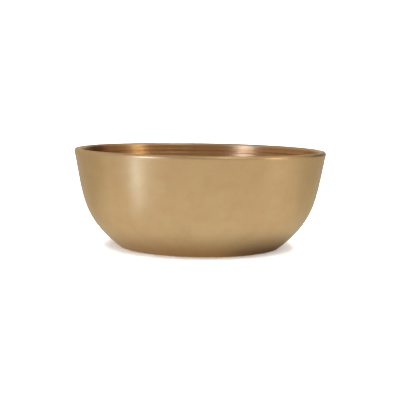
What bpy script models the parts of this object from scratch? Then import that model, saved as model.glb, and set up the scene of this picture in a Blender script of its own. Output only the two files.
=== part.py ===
"""Shaving bowl: one bronze casting, turned inside and out on a lathe.

The bowl is a single turned profile. It runs from the middle of the inner floor out to the
wall, up the inside, over a rounded lip with a narrow flat along its top, down the outside,
across the ring that the bowl rests on, and over the shallow recess underneath to the axis.

Metres, +Z up. The origin is the middle of the circle that the bowl stands on.
"""

from math import atan2, cos, hypot, pi, radians, sin

import bmesh
import bpy
from mathutils import Vector
from mathutils.geometry import interpolate_bezier

# Overall sizes
RIM_DIAMETER = 0.120
HEIGHT = 0.0464
BASE_DIAMETER = 0.0768

# Outer wall: its lean above the horizontal at each end, and how far each lean carries
WALL_LEAN_AT_BASE = radians(36.7)
WALL_LEAN_AT_RIM = radians(78.6)
CARRY_AT_BASE = 0.0223
CARRY_AT_RIM = 0.0213

# Thicknesses, measured square to the surface
RIM_WALL = 0.0028
BASE_WALL = 0.0036
FLOOR_THICKNESS = 0.0040

# Lip: the same round on its inner and outer edges, and a narrow flat between them
LIP_EDGE_RADIUS = 0.00125

# Inside: a flat floor, then one sweep up into the wall
FLOOR_SWEEP_HEIGHT = 0.0060
FLOOR_SWEEP_CARRY = 0.55

# Underside: the edge of the base, the resting ring and the recess inside it
BASE_EDGE_RADIUS = 0.0003
RESTING_RING_WIDTH = 0.0050
RECESS_DEPTH = 0.0008
RECESS_SLOPE_WIDTH = 0.0012

# How finely the curves are divided
TURN_STEPS = 96
WALL_POINTS = 17
LIP_POINTS = 6
EDGE_POINTS = 4
SWEEP_POINTS = 7
MERGE_DISTANCE = 0.00001

BRONZE_COLOUR = (0.62, 0.40, 0.19, 1.0)
BRONZE_ROUGHNESS = 0.32


def clear_scene():
    for thing in list(bpy.data.objects):
        bpy.data.objects.remove(thing, do_unlink=True)


def bronze():
    material = bpy.data.materials.new("bronze")
    material.use_nodes = True
    shader = material.node_tree.nodes["Principled BSDF"]
    shader.inputs["Base Color"].default_value = BRONZE_COLOUR
    shader.inputs["Metallic"].default_value = 1.0
    shader.inputs["Roughness"].default_value = BRONZE_ROUGHNESS
    return material


def point(radius, height):
    """A point of the profile, which lies in the XZ plane."""
    return Vector((radius, 0.0, height))


def along(lean, length):
    """A step of that length, rising at that lean."""
    return point(length * cos(lean), length * sin(lean))


def arc(centre, radius, start, end, count):
    """Points on an arc, both ends included, with the angles measured from +X towards +Z."""
    steps = [start + (end - start) * i / (count - 1) for i in range(count)]
    return [centre + point(radius * cos(a), radius * sin(a)) for a in steps]


def outer_edge_centre():
    """The middle of the lip's outer round, a radius in from the rim and a radius below the top."""
    return point(RIM_DIAMETER / 2 - LIP_EDGE_RADIUS, HEIGHT - LIP_EDGE_RADIUS)


def inner_edge_centre():
    """The middle of the lip's inner round, set in so that the wall there is RIM_WALL thick."""
    apart = (RIM_WALL - 2 * LIP_EDGE_RADIUS) / sin(WALL_LEAN_AT_RIM)
    return outer_edge_centre() - point(apart, 0)


def base_edge_centre():
    """The middle of the small round at the base. The outer wall starts at BASE_DIAMETER."""
    start = along(WALL_LEAN_AT_BASE - pi / 2, BASE_EDGE_RADIUS)
    return point(BASE_DIAMETER / 2 - start.x, BASE_EDGE_RADIUS)


def outer_wall():
    """The outer wall from base to rim, as one curve with two handles, tangent to both rounds."""
    foot = base_edge_centre() + along(WALL_LEAN_AT_BASE - pi / 2, BASE_EDGE_RADIUS)
    top = outer_edge_centre() + along(WALL_LEAN_AT_RIM - pi / 2, LIP_EDGE_RADIUS)
    return interpolate_bezier(
        foot,
        foot + along(WALL_LEAN_AT_BASE, CARRY_AT_BASE),
        top - along(WALL_LEAN_AT_RIM, CARRY_AT_RIM),
        top,
        WALL_POINTS,
    )


def leans_of(wall):
    """The wall's lean at each of its points, exact at both ends."""
    leans = [WALL_LEAN_AT_BASE]
    for before, after in zip(wall, wall[2:]):
        leans.append(atan2(after.z - before.z, after.x - before.x))
    return leans + [WALL_LEAN_AT_RIM]


def inner_wall(wall, leans):
    """The inside of the wall, from base to lip. Its thickness changes evenly with height."""
    inside = []
    for outside, lean in zip(wall, leans):
        share = outside.z / wall[-1].z
        thickness = BASE_WALL + (RIM_WALL - BASE_WALL) * share
        inside.append(outside + along(lean + pi / 2, thickness))
    inside[-1] = inner_edge_centre() + along(WALL_LEAN_AT_RIM + pi / 2, LIP_EDGE_RADIUS)
    return inside


def floor_and_inner_wall(wall, leans):
    """From the axis along the flat floor, through the sweep, and up the inner wall."""
    inside = inner_wall(wall, leans)
    sweep_top = FLOOR_THICKNESS + FLOOR_SWEEP_HEIGHT
    first = next(i for i, spot in enumerate(inside) if spot.z > sweep_top)
    joint, lean = inside[first], leans[first]
    rise = joint.z - FLOOR_THICKNESS
    corner = joint - along(lean, rise / sin(lean))
    reach = hypot(joint.x - corner.x, rise)
    floor_edge = corner - point(reach, 0)
    sweep = interpolate_bezier(
        floor_edge,
        floor_edge.lerp(corner, FLOOR_SWEEP_CARRY),
        joint.lerp(corner, FLOOR_SWEEP_CARRY),
        joint,
        SWEEP_POINTS,
    )
    return [point(0, FLOOR_THICKNESS)] + sweep + inside[first + 1 :]


def lip():
    """Over the lip, from the inside to the outside. Its ends belong to the walls."""
    inner = arc(inner_edge_centre(), LIP_EDGE_RADIUS, WALL_LEAN_AT_RIM + pi / 2, pi / 2, LIP_POINTS)
    outer = arc(outer_edge_centre(), LIP_EDGE_RADIUS, pi / 2, 0, LIP_POINTS)
    return inner[1:] + outer


def base_edge():
    """The small round between the outer wall and the resting ring. Its start belongs to the wall."""
    lean = WALL_LEAN_AT_BASE - pi / 2
    return arc(base_edge_centre(), BASE_EDGE_RADIUS, lean, -pi / 2, EDGE_POINTS)[1:]


def underside():
    """From the resting ring's inner edge, over the recess, to the axis."""
    ring_inner = base_edge_centre().x - RESTING_RING_WIDTH
    return [
        point(ring_inner, 0),
        point(ring_inner - RECESS_SLOPE_WIDTH, RECESS_DEPTH),
        point(0, RECESS_DEPTH),
    ]


def bowl_profile():
    """The whole turned outline, from the axis inside the bowl to the axis underneath it."""
    wall = outer_wall()
    inside = floor_and_inner_wall(wall, leans_of(wall))
    return inside + lip() + wall[::-1] + base_edge() + underside()


def profile_mesh(name, profile):
    """An open line of edges, to be turned about Z."""
    mesh = bpy.data.meshes.new(name)
    line = bmesh.new()
    spots = [line.verts.new(spot) for spot in profile]
    for a, b in zip(spots, spots[1:]):
        line.edges.new((a, b))
    line.to_mesh(mesh)
    line.free()
    return mesh


def turn(obj):
    """Turns the object's profile through a full circle about Z, closed at the axis."""
    screw = obj.modifiers.new("turned", "SCREW")
    screw.axis = "Z"
    screw.angle = 2 * pi
    screw.steps = TURN_STEPS
    screw.render_steps = TURN_STEPS
    screw.use_merge_vertices = True
    screw.merge_threshold = MERGE_DISTANCE
    screw.use_smooth_shade = True


def bowl(collection):
    obj = bpy.data.objects.new("bowl", profile_mesh("bowl", bowl_profile()))
    collection.objects.link(obj)
    obj.data.materials.append(bronze())
    turn(obj)
    return obj


def main():
    clear_scene()
    collection = bpy.data.collections.new("shaving_bowl")
    bpy.context.scene.collection.children.link(collection)
    bowl(collection)


main()
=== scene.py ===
from math import pi, radians

import bpy
import numpy as np
from mathutils import Euler, Matrix, Vector

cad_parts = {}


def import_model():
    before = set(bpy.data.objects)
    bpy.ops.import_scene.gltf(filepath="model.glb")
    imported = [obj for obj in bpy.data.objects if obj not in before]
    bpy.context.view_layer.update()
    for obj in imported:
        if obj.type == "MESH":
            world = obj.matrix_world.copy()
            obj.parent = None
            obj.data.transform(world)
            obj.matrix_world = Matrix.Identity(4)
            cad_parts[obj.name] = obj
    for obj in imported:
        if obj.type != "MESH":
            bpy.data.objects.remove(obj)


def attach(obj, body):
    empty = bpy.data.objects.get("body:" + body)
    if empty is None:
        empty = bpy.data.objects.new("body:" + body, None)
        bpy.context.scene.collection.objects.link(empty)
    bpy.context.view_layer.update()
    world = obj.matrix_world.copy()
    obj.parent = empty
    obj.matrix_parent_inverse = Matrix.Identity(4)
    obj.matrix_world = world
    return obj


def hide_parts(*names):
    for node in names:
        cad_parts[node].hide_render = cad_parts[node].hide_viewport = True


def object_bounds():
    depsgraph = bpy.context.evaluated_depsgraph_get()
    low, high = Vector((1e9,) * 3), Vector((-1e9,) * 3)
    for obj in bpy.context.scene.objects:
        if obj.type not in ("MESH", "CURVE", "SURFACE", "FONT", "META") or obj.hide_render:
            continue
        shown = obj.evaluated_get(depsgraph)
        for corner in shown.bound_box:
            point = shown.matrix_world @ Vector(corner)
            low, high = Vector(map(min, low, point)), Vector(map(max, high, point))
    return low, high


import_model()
cadLow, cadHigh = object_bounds()
rimRadius = cadHigh.x
bowlHeight = cadHigh.z
print("frame loaded, rim radius", round(rimRadius, 4), "height", round(bowlHeight, 4))

# The same sizes as the CAD bowl's, with the fine turning on top. Metres and radians.
bowlShape = {
    "baseDiameter": 0.0768,
    "leanAtBase": radians(36.7),      # the wall's lean above the horizontal
    "leanAtRim": radians(78.6),
    "carryAtBase": 0.0223,            # how far each lean carries into the wall
    "carryAtRim": 0.0213,
    "rimWall": 0.0028,
    "lipEdgeRadius": 0.00125,         # both edges of the lip, with a narrow flat between them
    "baseWall": 0.0036,
    "floorThickness": 0.0040,
    "sweepTop": 0.01188,              # where the floor's sweep meets the wall
    "sweepCarry": 0.55,
    "baseEdgeRadius": 0.0003,
    "ringWidth": 0.0050,              # the ring that the bowl stands on
    "recessDepth": 0.0008,
    "recessSlope": 0.0012,
    "turnSteps": 192,                 # sides round the bowl
}

# The lathe's marks: scallops left side by side by a round-nosed tool.
turning = {
    "wallPitch": 0.00188,             # inside wall, measured along the wall
    "wallDepthAtRim": 0.00011,
    "wallDepthAtFloor": 0.00003,
    "floorPitch": 0.0026,
    "floorDepth": 0.00003,
    "recessPitch": 0.0021,
    "recessDepth": 0.00005,
    "plainBelowLip": 0.0006,          # the polished band between the lip and the first scallop
    "unevenness": 0.35,               # how much one scallop's depth differs from the next
    "seed": 11,
}

# How finely the outline is drawn: the step along it in metres, or the number of points.
fineness = {
    "floorStep": 0.00045,
    "wallStep": 0.000212,
    "ringStep": 0.0008,
    "slopeStep": 0.0003,
    "recessStep": 0.0006,
    "wallPoints": 2001,               # before the wall is respaced
    "sweepPoints": 400,
    "lipRoundPoints": 14,
    "lipFlatPoints": 9,
    "outerWallPoints": 61,
    "baseRoundPoints": 7,
}

# How far the wear spreads from the lip's crest and the base's edge, and how high the painted shade
# climbs up the outside wall from the base.
wear = {
    "lipWidth": 0.0016,
    "baseWidth": 0.0009,
    "lowShadeHeight": 0.020,
}


def heading(lean):
    # a step of one metre at that lean: its cosine outward and its sine upward
    return np.array([np.cos(lean), np.sin(lean)])


def bezier(corners, t):
    # a cubic curve: the corners weighted by (1 - t)^3, 3 (1 - t)^2 t, 3 (1 - t) t^2 and t^3
    a, b, c, d = (np.asarray(p, float) for p in corners)
    u = t[:, None]
    return (1 - u) ** 3 * a + 3 * (1 - u) ** 2 * u * b + 3 * (1 - u) * u**2 * c + u**3 * d


def bezierLean(corners, t):
    # the direction of the curve's derivative, as an angle above the horizontal
    a, b, c, d = (np.asarray(p, float) for p in corners)
    u = t[:, None]
    rate = (1 - u) ** 2 * (b - a) + 2 * (1 - u) * u * (c - b) + u**2 * (d - c)
    return np.arctan2(rate[:, 1], rate[:, 0])


def arc(centre, radius, start, end, count):
    # the centre plus the radius times (cos a, sin a), with a going evenly from start to end
    a = np.linspace(start, end, count)
    return centre + radius * np.stack([np.cos(a), np.sin(a)], axis=1)


def lengthAlong(line):
    # the running sum of the steps between points, from the line's start
    return np.concatenate([[0], np.cumsum(np.hypot(*np.diff(line, axis=0).T))])


def respaced(line, spacing):
    # the same line with its points at equal steps along it
    s = lengthAlong(line)
    even = np.linspace(0, s[-1], max(2, int(round(s[-1] / spacing)) + 1))
    return np.stack([np.interp(even, s, line[:, k]) for k in (0, 1)], axis=1)


def lipEdges(shape):
    # the middles of the lip's outer and inner rounds, at one height and a wall's thickness apart
    radius = shape["lipEdgeRadius"]
    outer = np.array([rimRadius - radius, bowlHeight - radius])
    apart = (shape["rimWall"] - 2 * radius) / np.sin(shape["leanAtRim"])
    return outer, outer - np.array([apart, 0])


def outerCorners(shape):
    # the outer wall's four control points, tangent to the lip's outer round and the base's round
    toEdge = shape["baseEdgeRadius"] * heading(shape["leanAtBase"] - pi / 2)
    edgeCentre = np.array([shape["baseDiameter"] / 2 - toEdge[0], shape["baseEdgeRadius"]])
    foot = edgeCentre + toEdge
    top = lipEdges(shape)[0] + shape["lipEdgeRadius"] * heading(shape["leanAtRim"] - pi / 2)
    handles = [
        foot + shape["carryAtBase"] * heading(shape["leanAtBase"]),
        top - shape["carryAtRim"] * heading(shape["leanAtRim"]),
    ]
    return [foot, *handles, top], edgeCentre


def innerSide(shape, corners):
    # the outer wall moved inward along its normal by a thickness that changes evenly with height,
    # then a cubic curve from its foot to the flat floor, tangent to both
    t = np.linspace(0, 1, fineness["wallPoints"])
    outside, lean = bezier(corners, t), bezierLean(corners, t)
    share = outside[:, 1] / outside[-1, 1]
    thickness = shape["baseWall"] + (shape["rimWall"] - shape["baseWall"]) * share
    normal = np.stack([-np.sin(lean), np.cos(lean)], axis=1)
    inside = outside + thickness[:, None] * normal
    first = int(np.argmax(inside[:, 1] > shape["sweepTop"]))
    joint, rise = inside[first], inside[first, 1] - shape["floorThickness"]
    corner = joint - rise / np.sin(lean[first]) * heading(lean[first])
    floorEdge = corner - np.array([np.hypot(*(joint - corner)), 0])
    carry = shape["sweepCarry"]
    handles = [floorEdge + carry * (corner - floorEdge), joint + carry * (corner - joint)]
    sweep = bezier([floorEdge, *handles, joint], np.linspace(0, 1, fineness["sweepPoints"]))
    top = lipEdges(shape)[1] + shape["lipEdgeRadius"] * heading(shape["leanAtRim"] + pi / 2)
    upper = inside[first + 1 :]
    return np.concatenate([sweep, upper[upper[:, 1] < top[1]], [top]]), floorEdge


def scallops(distance, pitch, depth, seed):
    # a parabola across each pitch, depth times one less the square of 2f - 1, with f the place in
    # the pitch from 0 to 1; each scallop has its own depth
    which = np.floor(distance / pitch).astype(int)
    f = distance / pitch - which
    rng = np.random.default_rng(seed)
    own = 1 + turning["unevenness"] * rng.uniform(-1, 1, max(which.max() + 2, 2))
    return depth * own[np.clip(which, 0, None)] * (1 - (2 * f - 1) ** 2)


def pushedIn(line, depths):
    # each point moved by its depth into the metal, along the line's right-hand normal
    step = np.gradient(line, axis=0)
    step /= np.hypot(*step.T)[:, None]
    return line + depths[:, None] * np.stack([step[:, 1], -step[:, 0]], axis=1)


def bowlZones(shape):
    # the closed outline in order, from the floor's middle over the lip to the recess's middle
    corners, edgeCentre = outerCorners(shape)
    wall, floorEdge = innerSide(shape, corners)
    floorLine = respaced(np.array([[0, floorEdge[1]], floorEdge]), fineness["floorStep"])
    floorWay = floorEdge[0] - floorLine[:, 0]
    floorDepth = scallops(floorWay, turning["floorPitch"], turning["floorDepth"], turning["seed"])
    floorDepth *= np.clip(floorLine[:, 0] / turning["floorPitch"], 0, 1)
    floorMarks = pushedIn(floorLine, floorDepth)

    wallLine = respaced(wall, fineness["wallStep"])
    below = lengthAlong(wallLine)[-1] - lengthAlong(wallLine)
    reach = np.clip(below / below[0], 0, 1)
    depth = turning["wallDepthAtRim"] + (turning["wallDepthAtFloor"] - turning["wallDepthAtRim"]) * reach
    way = np.clip(below - turning["plainBelowLip"], 0, None)
    wallDepth = scallops(way, turning["wallPitch"], depth, turning["seed"] + 1) * (way > 0)
    wallMarks = pushedIn(wallLine, wallDepth)

    outerEdge, innerEdge = lipEdges(shape)
    radius, count = shape["lipEdgeRadius"], fineness["lipRoundPoints"]
    crown = np.linspace(0, 1, fineness["lipFlatPoints"])[1:-1, None]
    lipLine = np.concatenate(
        [
            arc(innerEdge, radius, shape["leanAtRim"] + pi / 2, pi / 2, count),
            [0, radius] + innerEdge + crown * (outerEdge - innerEdge),
            arc(outerEdge, radius, pi / 2, shape["leanAtRim"] - pi / 2, count),
        ]
    )
    outerLine = bezier(corners, np.linspace(1, 0, fineness["outerWallPoints"]))
    baseRound, count = shape["baseEdgeRadius"], fineness["baseRoundPoints"]
    edgeLine = arc(edgeCentre, baseRound, shape["leanAtBase"] - pi / 2, -pi / 2, count)

    ringInner = edgeCentre[0] - shape["ringWidth"]
    ringLine = respaced(np.array([edgeLine[-1], [ringInner, 0]]), fineness["ringStep"])
    slopeFoot = np.array([ringInner - shape["recessSlope"], shape["recessDepth"]])
    slopeLine = respaced(np.array([[ringInner, 0], slopeFoot]), fineness["slopeStep"])
    recessMiddle = [0, shape["recessDepth"]]
    recessLine = respaced(np.array([slopeFoot, recessMiddle]), fineness["recessStep"])
    recessWay = slopeFoot[0] - recessLine[:, 0]
    recessSeed = turning["seed"] + 2
    recessCut = scallops(recessWay, turning["recessPitch"], turning["recessDepth"], recessSeed)
    recessCut *= np.clip(recessLine[:, 0] / turning["recessPitch"], 0, 1)
    recessMarks = pushedIn(recessLine, recessCut)

    return [
        ("floor", floorMarks, floorDepth / turning["floorDepth"]),
        ("wall", wallMarks[1:], (wallDepth / turning["wallDepthAtRim"])[1:]),
        ("lip", lipLine[1:], np.zeros(len(lipLine) - 1)),
        ("outside", outerLine[1:], np.zeros(len(outerLine) - 1)),
        ("edge", edgeLine[1:], np.zeros(len(edgeLine) - 1)),
        ("ring", ringLine[1:], np.zeros(len(ringLine) - 1)),
        ("slope", slopeLine[1:], np.zeros(len(slopeLine) - 1)),
        ("recess", recessMarks[1:], (recessCut / turning["recessDepth"])[1:]),
    ]


def turnedMesh(name, outline, steps):
    # each outline point (r, z) goes round the axis as (r cos a, r sin a, z), with a in even steps,
    # and the first and last points are poles
    a = np.linspace(0, 2 * pi, steps, endpoint=False)
    body = outline[1:-1]
    grid = np.stack(
        [
            body[:, 0, None] * np.cos(a),
            body[:, 0, None] * np.sin(a),
            np.repeat(body[:, 1, None], steps, axis=1),
        ],
        axis=-1,
    ).reshape(-1, 3)
    poles = np.array([[0, 0, outline[0, 1]], [0, 0, outline[-1, 1]]])
    verts = np.concatenate([grid, poles])
    rows = len(body)
    i, j = (v.ravel() for v in np.meshgrid(np.arange(rows - 1), np.arange(steps), indexing="ij"))
    k = (j + 1) % steps
    quads = np.stack([i * steps + j, (i + 1) * steps + j, (i + 1) * steps + k, i * steps + k], axis=1)
    j = np.arange(steps)
    k = (j + 1) % steps
    first, last = len(grid), len(grid) + 1
    fans = np.concatenate(
        [
            np.stack([np.full(steps, first), j, k], axis=1),
            np.stack([np.full(steps, last), (rows - 1) * steps + k, (rows - 1) * steps + j], axis=1),
        ]
    )
    mesh = bpy.data.meshes.new(name)
    mesh.vertices.add(len(verts))
    mesh.vertices.foreach_set("co", verts.astype(np.float32).ravel())
    corners = np.concatenate([quads.ravel(), fans.ravel()])
    sizes = np.concatenate([np.full(len(quads), 4), np.full(len(fans), 3)])
    starts = np.concatenate([[0], np.cumsum(sizes)[:-1]])
    mesh.loops.add(len(corners))
    mesh.loops.foreach_set("vertex_index", corners.astype(np.int32))
    mesh.polygons.add(len(sizes))
    mesh.polygons.foreach_set("loop_start", starts.astype(np.int32))
    mesh.polygons.foreach_set("loop_total", sizes.astype(np.int32))
    mesh.update(calc_edges=True)
    mesh.validate()
    mesh.shade_smooth()
    return mesh


def paint(mesh, name, values, steps):
    # one number for each outline point, the same all round
    attribute = mesh.attributes.new(name, "FLOAT", "POINT")
    perVertex = np.concatenate([np.repeat(values[1:-1], steps), [values[0], values[-1]]])
    attribute.data.foreach_set("value", perVertex.astype(np.float32))


def bowl(shape):
    zones = bowlZones(shape)
    outline = np.concatenate([points for _, points, _ in zones])
    steps = shape["turnSteps"]
    mesh = turnedMesh("turned_bowl", outline, steps)
    names = np.concatenate([[name] * len(points) for name, points, _ in zones])
    cut = np.concatenate([cut for _, _, cut in zones])
    way = lengthAlong(outline)
    # wear fades as exp(-(distance / width)^2) from the crest of the lip and from the base's edge
    lipWear = np.exp(-(((way - way[names == "lip"].mean()) / wear["lipWidth"]) ** 2))
    baseWear = np.exp(-(((way - way[names == "edge"].mean()) / wear["baseWidth"]) ** 2))
    # painted shade: darker towards the base of the outside wall, fading out higher up
    low = np.clip(1 - outline[:, 1] / wear["lowShadeHeight"], 0, 1) * (names == "outside")
    paint(mesh, "along", way, steps)
    # the inside mask, which carries the inside's patina and painted shade
    paint(mesh, "inside", np.isin(names, ["floor", "wall"]).astype(float), steps)
    paint(mesh, "under", np.isin(names, ["ring", "slope", "recess"]).astype(float), steps)
    paint(mesh, "cut", cut, steps)
    paint(mesh, "worn", np.maximum(lipWear, baseWear), steps)
    paint(mesh, "low", low, steps)
    piece = bpy.data.objects.new("turned_bowl", mesh)
    bpy.context.scene.collection.objects.link(piece)
    print("bowl:", len(outline), "outline points,", len(mesh.polygons), "faces")
    return piece


# Four numbers in a row are a range of noise and the range that it is spread to.
bronze = {
    "rosy": (0.590, 0.372, 0.182, 1),
    "yellow": (0.610, 0.412, 0.206, 1),
    "yellowRange": (0.36, 0.66),      # of the cloud noise, from all rosy to all yellow
    "toned": (0.300, 0.170, 0.085, 1),  # patina that gathers in the scallops, and painted shade low on the outside wall
    # low is painted shade near the base; cut, under and fleck are patina and film
    "filmAndShadeFrom": {"cut": 0.28, "low": 0.06, "under": 0.35, "fleck": 0.08},
    "filmPatches": (0.30, 0.70, 0.5, 1.2),
    "patchFilm": (0.46, 0.74, 0.0, 0.09),
    "lineFilm": (0.50, 0.80, 0.0, 0.03),
    "bare": (0.720, 0.520, 0.290, 1),   # where handling has rubbed it bright
    "barePatches": (0.30, 0.62, 0.35, 0.85),
    "insidePatinaAndShade": (0.75, 0.62, 0.55, 1),  # the inside is darker and more orange where it isn't bare: partly patina, partly painted shade and light reflected between its walls
    "roughness": 0.23,
    "roughnessFrom": {"fine": 0.05, "cloud": 0.05, "patch": 0.06, "filmAndShade": 0.10, "worn": 0.30},
    "reliefFrom": {"fine": 2.5e-6, "broad": 5e-6, "cloud": 7e-5, "patch": 3e-5, "fleck": -4e-6},
    "anisotropic": 0.55,
    "anisotropicTurn": 0.25,          # a quarter turn, so that the sheen spreads along the wall
    "edgeTint": (0.95, 0.88, 0.76, 1),  # what the metal keeps of its colour at a glancing angle
    "coat": 0.06,
    "coatRoughness": 0.30,
}

# The noises that the bronze is mixed from: scale or (turns, lines), detail and roughness.
grain = {
    "fine": (1.4, 3600, 3.0, 0.6),    # polishing lines round the bowl
    "broad": (3.0, 500, 2.0, 0.5),
    "cloud": (60, 4.0, 0.60),
    "patch": (170, 3.0, 0.55),
    "fleck": (950, 2.0, 0.5),
    "fleckRange": (0.68, 0.80),
}


def addNode(tree, kind, inputs=None, **settings):
    # an input that is a socket is linked, and any other is set on the node itself
    made = tree.nodes.new(kind)
    for key, value in settings.items():
        setattr(made, key, value)
    for key, value in (inputs or {}).items():
        if isinstance(value, bpy.types.NodeSocket):
            tree.links.new(value, made.inputs[key])
        else:
            made.inputs[key].default_value = value
    return made


def maths(tree, operation, *values):
    inputs = {i: value for i, value in enumerate(values)}
    return addNode(tree, "ShaderNodeMath", inputs, operation=operation).outputs[0]


def mixed(tree, way, share, a, b):
    inputs = {0: share, 6: a, 7: b}
    return addNode(tree, "ShaderNodeMix", inputs, data_type="RGBA", blend_type=way).outputs[2]


def blendColour(tree, share, a, b):
    # (1 - share) a + share b
    return mixed(tree, "MIX", share, a, b)


def summed(tree, start, layers, shares):
    # start + the sum of share x layer, over the layers that shares names
    total = start
    for name, share in shares.items():
        total = maths(tree, "ADD", total, maths(tree, "MULTIPLY", layers[name], share))
    return total


def spread(tree, value, low, high, toLow=0.0, toHigh=1.0):
    # low to high becomes toLow to toHigh, and stops there
    inputs = {0: value, 1: low, 2: high, 3: toLow, 4: toHigh}
    return addNode(tree, "ShaderNodeMapRange", inputs, clamp=True).outputs[0]


def noise(tree, vector, scale, detail=2.0, roughness=0.5):
    inputs = {"Vector": vector, "Scale": scale, "Detail": detail, "Roughness": roughness}
    return addNode(tree, "ShaderNodeTexNoise", inputs).outputs[0]


def painted(tree, name):
    return addNode(tree, "ShaderNodeAttribute", attribute_name=name).outputs["Fac"]


def aroundTheBowl(tree, place, way, turns, lines):
    # (turns cos a, turns sin a, lines s): slow round the bowl, quick along the outline
    flat = addNode(tree, "ShaderNodeVectorMath", {0: place, 1: (1, 1, 0)}, operation="MULTIPLY")
    unit = addNode(tree, "ShaderNodeVectorMath", {0: flat.outputs[0]}, operation="NORMALIZE")
    parts = addNode(tree, "ShaderNodeSeparateXYZ", {0: unit.outputs[0]})
    made = addNode(
        tree,
        "ShaderNodeCombineXYZ",
        {
            0: maths(tree, "MULTIPLY", parts.outputs[0], turns),
            1: maths(tree, "MULTIPLY", parts.outputs[1], turns),
            2: maths(tree, "MULTIPLY", way, lines),
        },
    )
    return made.outputs[0]


def linesAround(tree, place, way, name):
    turns, lines, detail, roughness = grain[name]
    return noise(tree, aroundTheBowl(tree, place, way, turns, lines), 1.0, detail, roughness)


def bronzeLayers(tree):
    # what the colour, roughness and relief are mixed from: painted numbers and noises
    place = addNode(tree, "ShaderNodeTexCoord").outputs["Object"]
    way = painted(tree, "along")
    layers = {name: painted(tree, name) for name in ("cut", "worn", "low", "under", "inside")}
    layers["fine"] = linesAround(tree, place, way, "fine")
    layers["broad"] = linesAround(tree, place, way, "broad")
    layers["cloud"] = noise(tree, place, *grain["cloud"])
    layers["patch"] = noise(tree, place, *grain["patch"])
    layers["fleck"] = spread(tree, noise(tree, place, *grain["fleck"]), *grain["fleckRange"])

    # film and painted shade: patina in the cuts, painted shade on the low outside wall, film on the
    # underside and in the flecks, in patches, plus a little by itself
    patch = layers["patch"]
    filmAndShade = summed(tree, 0.0, layers, bronze["filmAndShadeFrom"])
    filmAndShade = maths(tree, "MULTIPLY", filmAndShade, spread(tree, patch, *bronze["filmPatches"]))
    filmAndShade = maths(tree, "ADD", filmAndShade, spread(tree, patch, *bronze["patchFilm"]))
    layers["filmAndShade"] = maths(tree, "ADD", filmAndShade, spread(tree, layers["broad"], *bronze["lineFilm"]))
    return layers


def bronzeColour(tree, layers):
    # two bronzes by cloud, then the toned film with painted shade low on the outside, then a deeper
    # inside of patina and painted shade, then bare metal on the edges
    yellow = spread(tree, layers["cloud"], *bronze["yellowRange"])
    metal = blendColour(tree, yellow, bronze["rosy"], bronze["yellow"])
    metal = blendColour(tree, spread(tree, layers["filmAndShade"], 0, 1), metal, bronze["toned"])
    # painted shade and reflected light inside the bowl, with some patina, multiplied onto the inside
    metal = mixed(tree, "MULTIPLY", layers["inside"], metal, bronze["insidePatinaAndShade"])
    rubbed = spread(tree, layers["patch"], *bronze["barePatches"])
    rubbed = maths(tree, "MULTIPLY", layers["worn"], rubbed)
    return blendColour(tree, rubbed, metal, bronze["bare"])


def turnedBronze():
    material = bpy.data.materials.new("turned_bronze")
    material.use_nodes = True
    tree = material.node_tree
    shader = tree.nodes["Principled BSDF"]
    layers = bronzeLayers(tree)
    rough = summed(tree, bronze["roughness"], layers, bronze["roughnessFrom"])
    relief = summed(tree, 0.0, layers, bronze["reliefFrom"])   # metres
    bump = addNode(tree, "ShaderNodeBump", {"Height": relief, "Distance": 1.0, "Strength": 1.0})
    tangent = addNode(tree, "ShaderNodeTangent", direction_type="RADIAL", axis="Z")

    tree.links.new(bronzeColour(tree, layers), shader.inputs["Base Color"])
    tree.links.new(rough, shader.inputs["Roughness"])
    tree.links.new(bump.outputs[0], shader.inputs["Normal"])
    tree.links.new(tangent.outputs[0], shader.inputs["Tangent"])
    shader.inputs["Metallic"].default_value = 1.0
    shader.inputs["Anisotropic"].default_value = bronze["anisotropic"]
    shader.inputs["Anisotropic Rotation"].default_value = bronze["anisotropicTurn"]
    shader.inputs["Specular Tint"].default_value = bronze["edgeTint"]
    shader.inputs["Coat Weight"].default_value = bronze["coat"]
    shader.inputs["Coat Roughness"].default_value = bronze["coatRoughness"]
    return material


turnedBowl = bowl(bowlShape)
turnedBowl.data.materials.append(turnedBronze())
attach(turnedBowl, "root")
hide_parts("bowl")
print("bronze done")

studio = {
    "floorRadius": 0.80,
    "coveRadius": 0.45,
    "wallHeight": 1.00,
    "middle": 0.0005,                 # the radius of the pinhole in the middle of a turned sheet
    "paper": (0.90, 0.90, 0.90, 1),
    "paperDull": 0.985,               # how much of its colour the paper keeps in its grain
    "paperGrain": (900, 3.0),         # scale and detail
    "paperRoughness": 0.9,
    "paperSheen": 0.1,
    "room": (0.56, 0.485, 0.415, 1),
    "aimShare": 0.75,                 # the lights point at this share of the bowl's height
}

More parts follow.
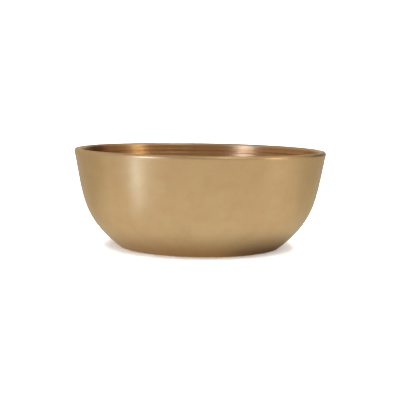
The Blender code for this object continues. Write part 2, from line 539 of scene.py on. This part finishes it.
# What the metal sees of the table and the ceiling. Radii are from the bowl's axis, in metres.
glow = {
    "shadeInner": 0.0335,             # the dark under the bowl fades out between these two
    "shadeOuter": 0.0560,
    "shadeSide": -60,                 # the bearing on which the shade is deepest, degrees
    "shadeDeepens": 0.60,             # cosine of the angle from there at which it starts to deepen
    "shadeReach": 0.0022,             # how much further the shade goes on that side
    "shadeLight": (0.355, 0.260, 0.165, 1),
    "shadeDeep": (0.072, 0.036, 0.024, 1),
    "table": (0.895, 0.925, 0.905, 1),
    "tableBehind": (0.65, 0.66, 0.59, 1),
    "frontEnds": -0.045,              # how far behind the axis the table starts to turn into
    "rearStarts": 0.030,              # tableBehind, and how far behind it has turned fully
    "tableDrop": 0.0002,              # how far the glowing table lies below the floor
    "tableEdge": 0.150,
    "beyondEdge": 0.250,
    "beyond": (0.60, 0.60, 0.56, 1),
    "beyondInFront": (0.66, 0.64, 0.58, 1),
    "streakFrom": (0.0128, -0.0138, 0),
    "streakBearing": 56.4,            # window light lying on the table, from the left
    "streakSpread": 0.16,             # tangent of half its angle
    "streakNear": 0.060,
    "streakFar": 0.140,
    "streakFloor": 0.001,             # the least distance ahead that the slant is divided by
    "streak": (0.62, 0.96, 1.72, 1),
    "backdrop": (0.80, 0.81, 0.76, 1),
    "backdropBearings": (148, 212),   # it stands behind the bowl, seen from the camera
    "flag": (0.02, 0.018, 0.016, 1),  # a dark card, to the right and behind
    "flagBearings": (-156, -117),
    "backdropRadius": 0.88,
    "backdropHeight": 0.55,
    "ceiling": (0.42, 0.39, 0.34, 1),
    "ceilingRadius": 0.90,
    "ceilingHeight": 0.98,
}


def onStage(name, mesh, material):
    made = bpy.data.objects.new(name, mesh)
    made.data.materials.append(material)
    bpy.context.scene.collection.objects.link(made)
    return made


def turnedSheet(name, line, bearings=None, steps=96):
    # each point (r, z) of the line goes to (-r sin b, -r cos b, z), for each bearing b or all round
    low, high = bearings or (0, 360)
    b = np.radians(np.linspace(low, high, steps + 1))[: None if bearings else -1]
    r, z = line[:, 0, None], line[:, 1, None]
    grid = np.stack([-r * np.sin(b), -r * np.cos(b), np.repeat(z, len(b), axis=1)], axis=-1)
    i, j = (v.ravel() for v in np.meshgrid(np.arange(len(line) - 1), np.arange(steps), indexing="ij"))
    k = (j + 1) % len(b)
    row, nextRow = i * len(b), (i + 1) * len(b)
    quads = np.stack([row + j, row + k, nextRow + k, nextRow + j], axis=1)
    mesh = bpy.data.meshes.new(name)
    mesh.from_pydata(grid.reshape(-1, 3).tolist(), [], quads.tolist())
    mesh.shade_smooth()
    return mesh


def paper():
    material = bpy.data.materials.new("paper")
    material.use_nodes = True
    tree = material.node_tree
    shader = tree.nodes["Principled BSDF"]
    place = addNode(tree, "ShaderNodeTexCoord").outputs["Object"]
    fibres = noise(tree, place, *studio["paperGrain"])
    dull = tuple(studio["paperDull"] * v for v in studio["paper"][:3]) + (1,)
    tree.links.new(blendColour(tree, fibres, dull, studio["paper"]), shader.inputs["Base Color"])
    shader.inputs["Roughness"].default_value = studio["paperRoughness"]
    shader.inputs["Specular IOR Level"].default_value = studio["paperSheen"]
    return material


def toward(bearing):
    # the level direction on that bearing: 0 is the camera's side, and left of it is positive
    return (-np.sin(radians(bearing)), -np.cos(radians(bearing)), 0)


def distanceToward(tree, place, bearing):
    # place . direction: how far a point lies on that bearing from the origin
    inputs = {0: place, 1: toward(bearing)}
    return addNode(tree, "ShaderNodeVectorMath", inputs, operation="DOT_PRODUCT").outputs["Value"]


def smooth(tree, value, low, high):
    # 0 at low, 1 at high, and an S-shaped step between them
    inputs = {0: value, 1: low, 2: high}
    return addNode(tree, "ShaderNodeMapRange", inputs, interpolation_type="SMOOTHSTEP").outputs[0]


def shining(name, colourOf):
    material = bpy.data.materials.new(name)
    material.use_nodes = True
    tree = material.node_tree
    tree.nodes.remove(tree.nodes["Principled BSDF"])
    emit = addNode(tree, "ShaderNodeEmission", {"Color": colourOf(tree), "Strength": 1.0})
    tree.links.new(emit.outputs[0], tree.nodes["Material Output"].inputs["Surface"])
    return material


def tableLevels(tree, place):
    # outward from the bowl: shade, deepest on one side, then the table, then what lies beyond,
    # the last two with one colour in front and another behind
    away = addNode(tree, "ShaderNodeVectorMath", {0: place}, operation="LENGTH").outputs["Value"]
    side = maths(tree, "DIVIDE", distanceToward(tree, place, glow["shadeSide"]), away)
    reach = maths(tree, "MULTIPLY", side, glow["shadeReach"])
    shadeWay = maths(tree, "SUBTRACT", away, reach)
    lit = smooth(tree, shadeWay, glow["shadeInner"], glow["shadeOuter"])
    deep = smooth(tree, side, glow["shadeDeepens"], 1.0)
    shade = blendColour(tree, deep, glow["shadeLight"], glow["shadeDeep"])
    rear = smooth(tree, distanceToward(tree, place, 180), glow["frontEnds"], glow["rearStarts"])
    table = blendColour(tree, rear, glow["table"], glow["tableBehind"])
    beyond = blendColour(tree, rear, glow["beyondInFront"], glow["beyond"])
    far = smooth(tree, away, glow["tableEdge"], glow["beyondEdge"])
    return blendColour(tree, lit, shade, blendColour(tree, far, table, beyond))


def streakShare(tree, place):
    # 1 - |across| / (spread x ahead), smoothed, and fading in between streakNear and streakFar
    inputs = {0: place, 1: glow["streakFrom"]}
    start = addNode(tree, "ShaderNodeVectorMath", inputs, operation="SUBTRACT").outputs[0]
    ahead = distanceToward(tree, start, glow["streakBearing"])
    across = distanceToward(tree, start, glow["streakBearing"] - 90)
    slant = maths(tree, "DIVIDE", across, maths(tree, "MAXIMUM", ahead, glow["streakFloor"]))
    aside = smooth(tree, maths(tree, "ABSOLUTE", slant), 0.0, glow["streakSpread"])
    fadeIn = smooth(tree, ahead, glow["streakNear"], glow["streakFar"])
    return maths(tree, "MULTIPLY", maths(tree, "SUBTRACT", 1.0, aside), fadeIn)


def tableGlow(tree):
    # the table's levels + streak share x streak colour
    place = addNode(tree, "ShaderNodeTexCoord").outputs["Object"]
    return mixed(tree, "ADD", streakShare(tree, place), tableLevels(tree, place), glow["streak"])


def evenGlow(colour):
    # the same colour all over, which addNode sets on the shader itself
    return lambda tree: colour


def floorAndCove():
    reach, bend = studio["floorRadius"], studio["coveRadius"]
    line = np.concatenate(
        [
            np.stack([np.linspace(studio["middle"], reach, 12), np.zeros(12)], axis=1),
            arc(np.array([reach, bend]), bend, -pi / 2, 0, 16)[1:],
            np.array([[reach + bend, studio["wallHeight"]]]),
        ]
    )
    white = onStage("floor", turnedSheet("floor", line), paper())
    white.visible_glossy = False
    white.visible_shadow = False


def glowCards():
    # what the metal sees round it; the camera doesn't see these
    edge, rise, top = glow["backdropRadius"], glow["backdropHeight"], glow["ceilingHeight"]
    middle, drop = studio["middle"], glow["tableDrop"]
    flat = np.array([[middle, -drop], [studio["floorRadius"], -drop]])
    upright = np.array([[edge, 0], [edge, rise]])
    disc = np.array([[glow["ceilingRadius"], top], [middle, top]])
    cards = {
        "table_glow": (flat, None, tableGlow),
        "backdrop_glow": (upright, glow["backdropBearings"], evenGlow(glow["backdrop"])),
        "flag": (upright, glow["flagBearings"], evenGlow(glow["flag"])),
        "ceiling_glow": (disc, None, evenGlow(glow["ceiling"])),
    }
    for name, (line, bearings, colourOf) in cards.items():
        card = onStage(name, turnedSheet(name, line, bearings), shining(name, colourOf))
        card.visible_camera = False
        card.visible_diffuse = False
        card.visible_shadow = False


# A light stands on a bearing from the camera's side, with left positive, at a level distance
# from the axis and a height. It lights either the paper or the metal.
lights = {
    "overhead": {
        "bearing": 0, "distance": 0.0, "height": 1.25, "size": (1.5, 1.5), "power": 62.0,
        "colour": (0.94, 0.97, 1.0), "sees": "paper",
    },
    "window": {
        "bearing": 48.5, "distance": 0.85, "height": 0.27, "size": (0.20, 0.45), "power": 2.80,
        "colour": (0.45, 0.64, 1.0), "sees": "metal",
    },
    "warm_side": {
        "bearing": -71, "distance": 0.85, "height": 0.32, "size": (0.11, 0.60), "power": 1.00,
        "colour": (0.97, 1.0, 0.77), "sees": "metal",
    },
    "high_side": {
        "bearing": -41, "distance": 0.50, "height": 1.00, "size": (0.16, 0.16), "power": 1.60,
        "colour": (0.85, 1.0, 1.0), "sees": "metal",
    },
    "left_wall": {
        "bearing": 105, "distance": 0.80, "height": 0.30, "size": (1.0, 0.5), "power": 0.32,
        "colour": (0.8, 1.0, 0.90), "sees": "metal",
    },
}


def areaLight(name, facts, target):
    light = bpy.data.lights.new(name, "AREA")
    light.shape = "RECTANGLE"
    light.size, light.size_y = facts["size"]
    light.energy = facts["power"]
    light.color = facts["colour"]
    holder = bpy.data.objects.new(name, light)
    bpy.context.scene.collection.objects.link(holder)
    place = Vector(toward(facts["bearing"])) * facts["distance"]
    place.z = facts["height"]
    holder.location = place
    holder.rotation_euler = (target - place).to_track_quat("-Z", "Y").to_euler()
    holder.visible_camera = False
    holder.visible_glossy = facts["sees"] == "metal"
    holder.visible_diffuse = facts["sees"] == "paper"


def world():
    room = bpy.data.worlds.new("room")
    bpy.context.scene.world = room
    room.use_nodes = True
    room.node_tree.nodes["Background"].inputs["Color"].default_value = studio["room"]


floorAndCove()
glowCards()
lightTarget = Vector((0, 0, bowlHeight * studio["aimShare"]))
for lightName, lightFacts in lights.items():
    areaLight(lightName, lightFacts, lightTarget)
world()
print("studio done")

camera = {
    "distance": 0.480,
    "height": 0.07215,
    "tiltDown": radians(5.999),
    "turn": radians(-0.032),
    "roll": radians(0.956),
    "lens": 90.15,                    # this and the sensor are in millimetres
    "sensor": 36,
    "nearest": 0.01,
}


def standCamera():
    data = bpy.data.cameras.new("camera")
    data.lens = camera["lens"]
    data.sensor_width = camera["sensor"]
    data.clip_start = camera["nearest"]
    holder = bpy.data.objects.new("camera", data)
    bpy.context.scene.collection.objects.link(holder)
    aim = Euler((pi / 2 - camera["tiltDown"], 0, camera["turn"])).to_matrix()
    turned = aim @ Matrix.Rotation(camera["roll"], 3, "Z")
    place = Matrix.Translation((0, -camera["distance"], camera["height"]))
    holder.matrix_world = place @ turned.to_4x4()
    bpy.context.scene.camera = holder


standCamera()
bpy.context.scene.view_settings.view_transform = "Standard"
bpy.context.scene.view_settings.look = "None"
print("camera done")
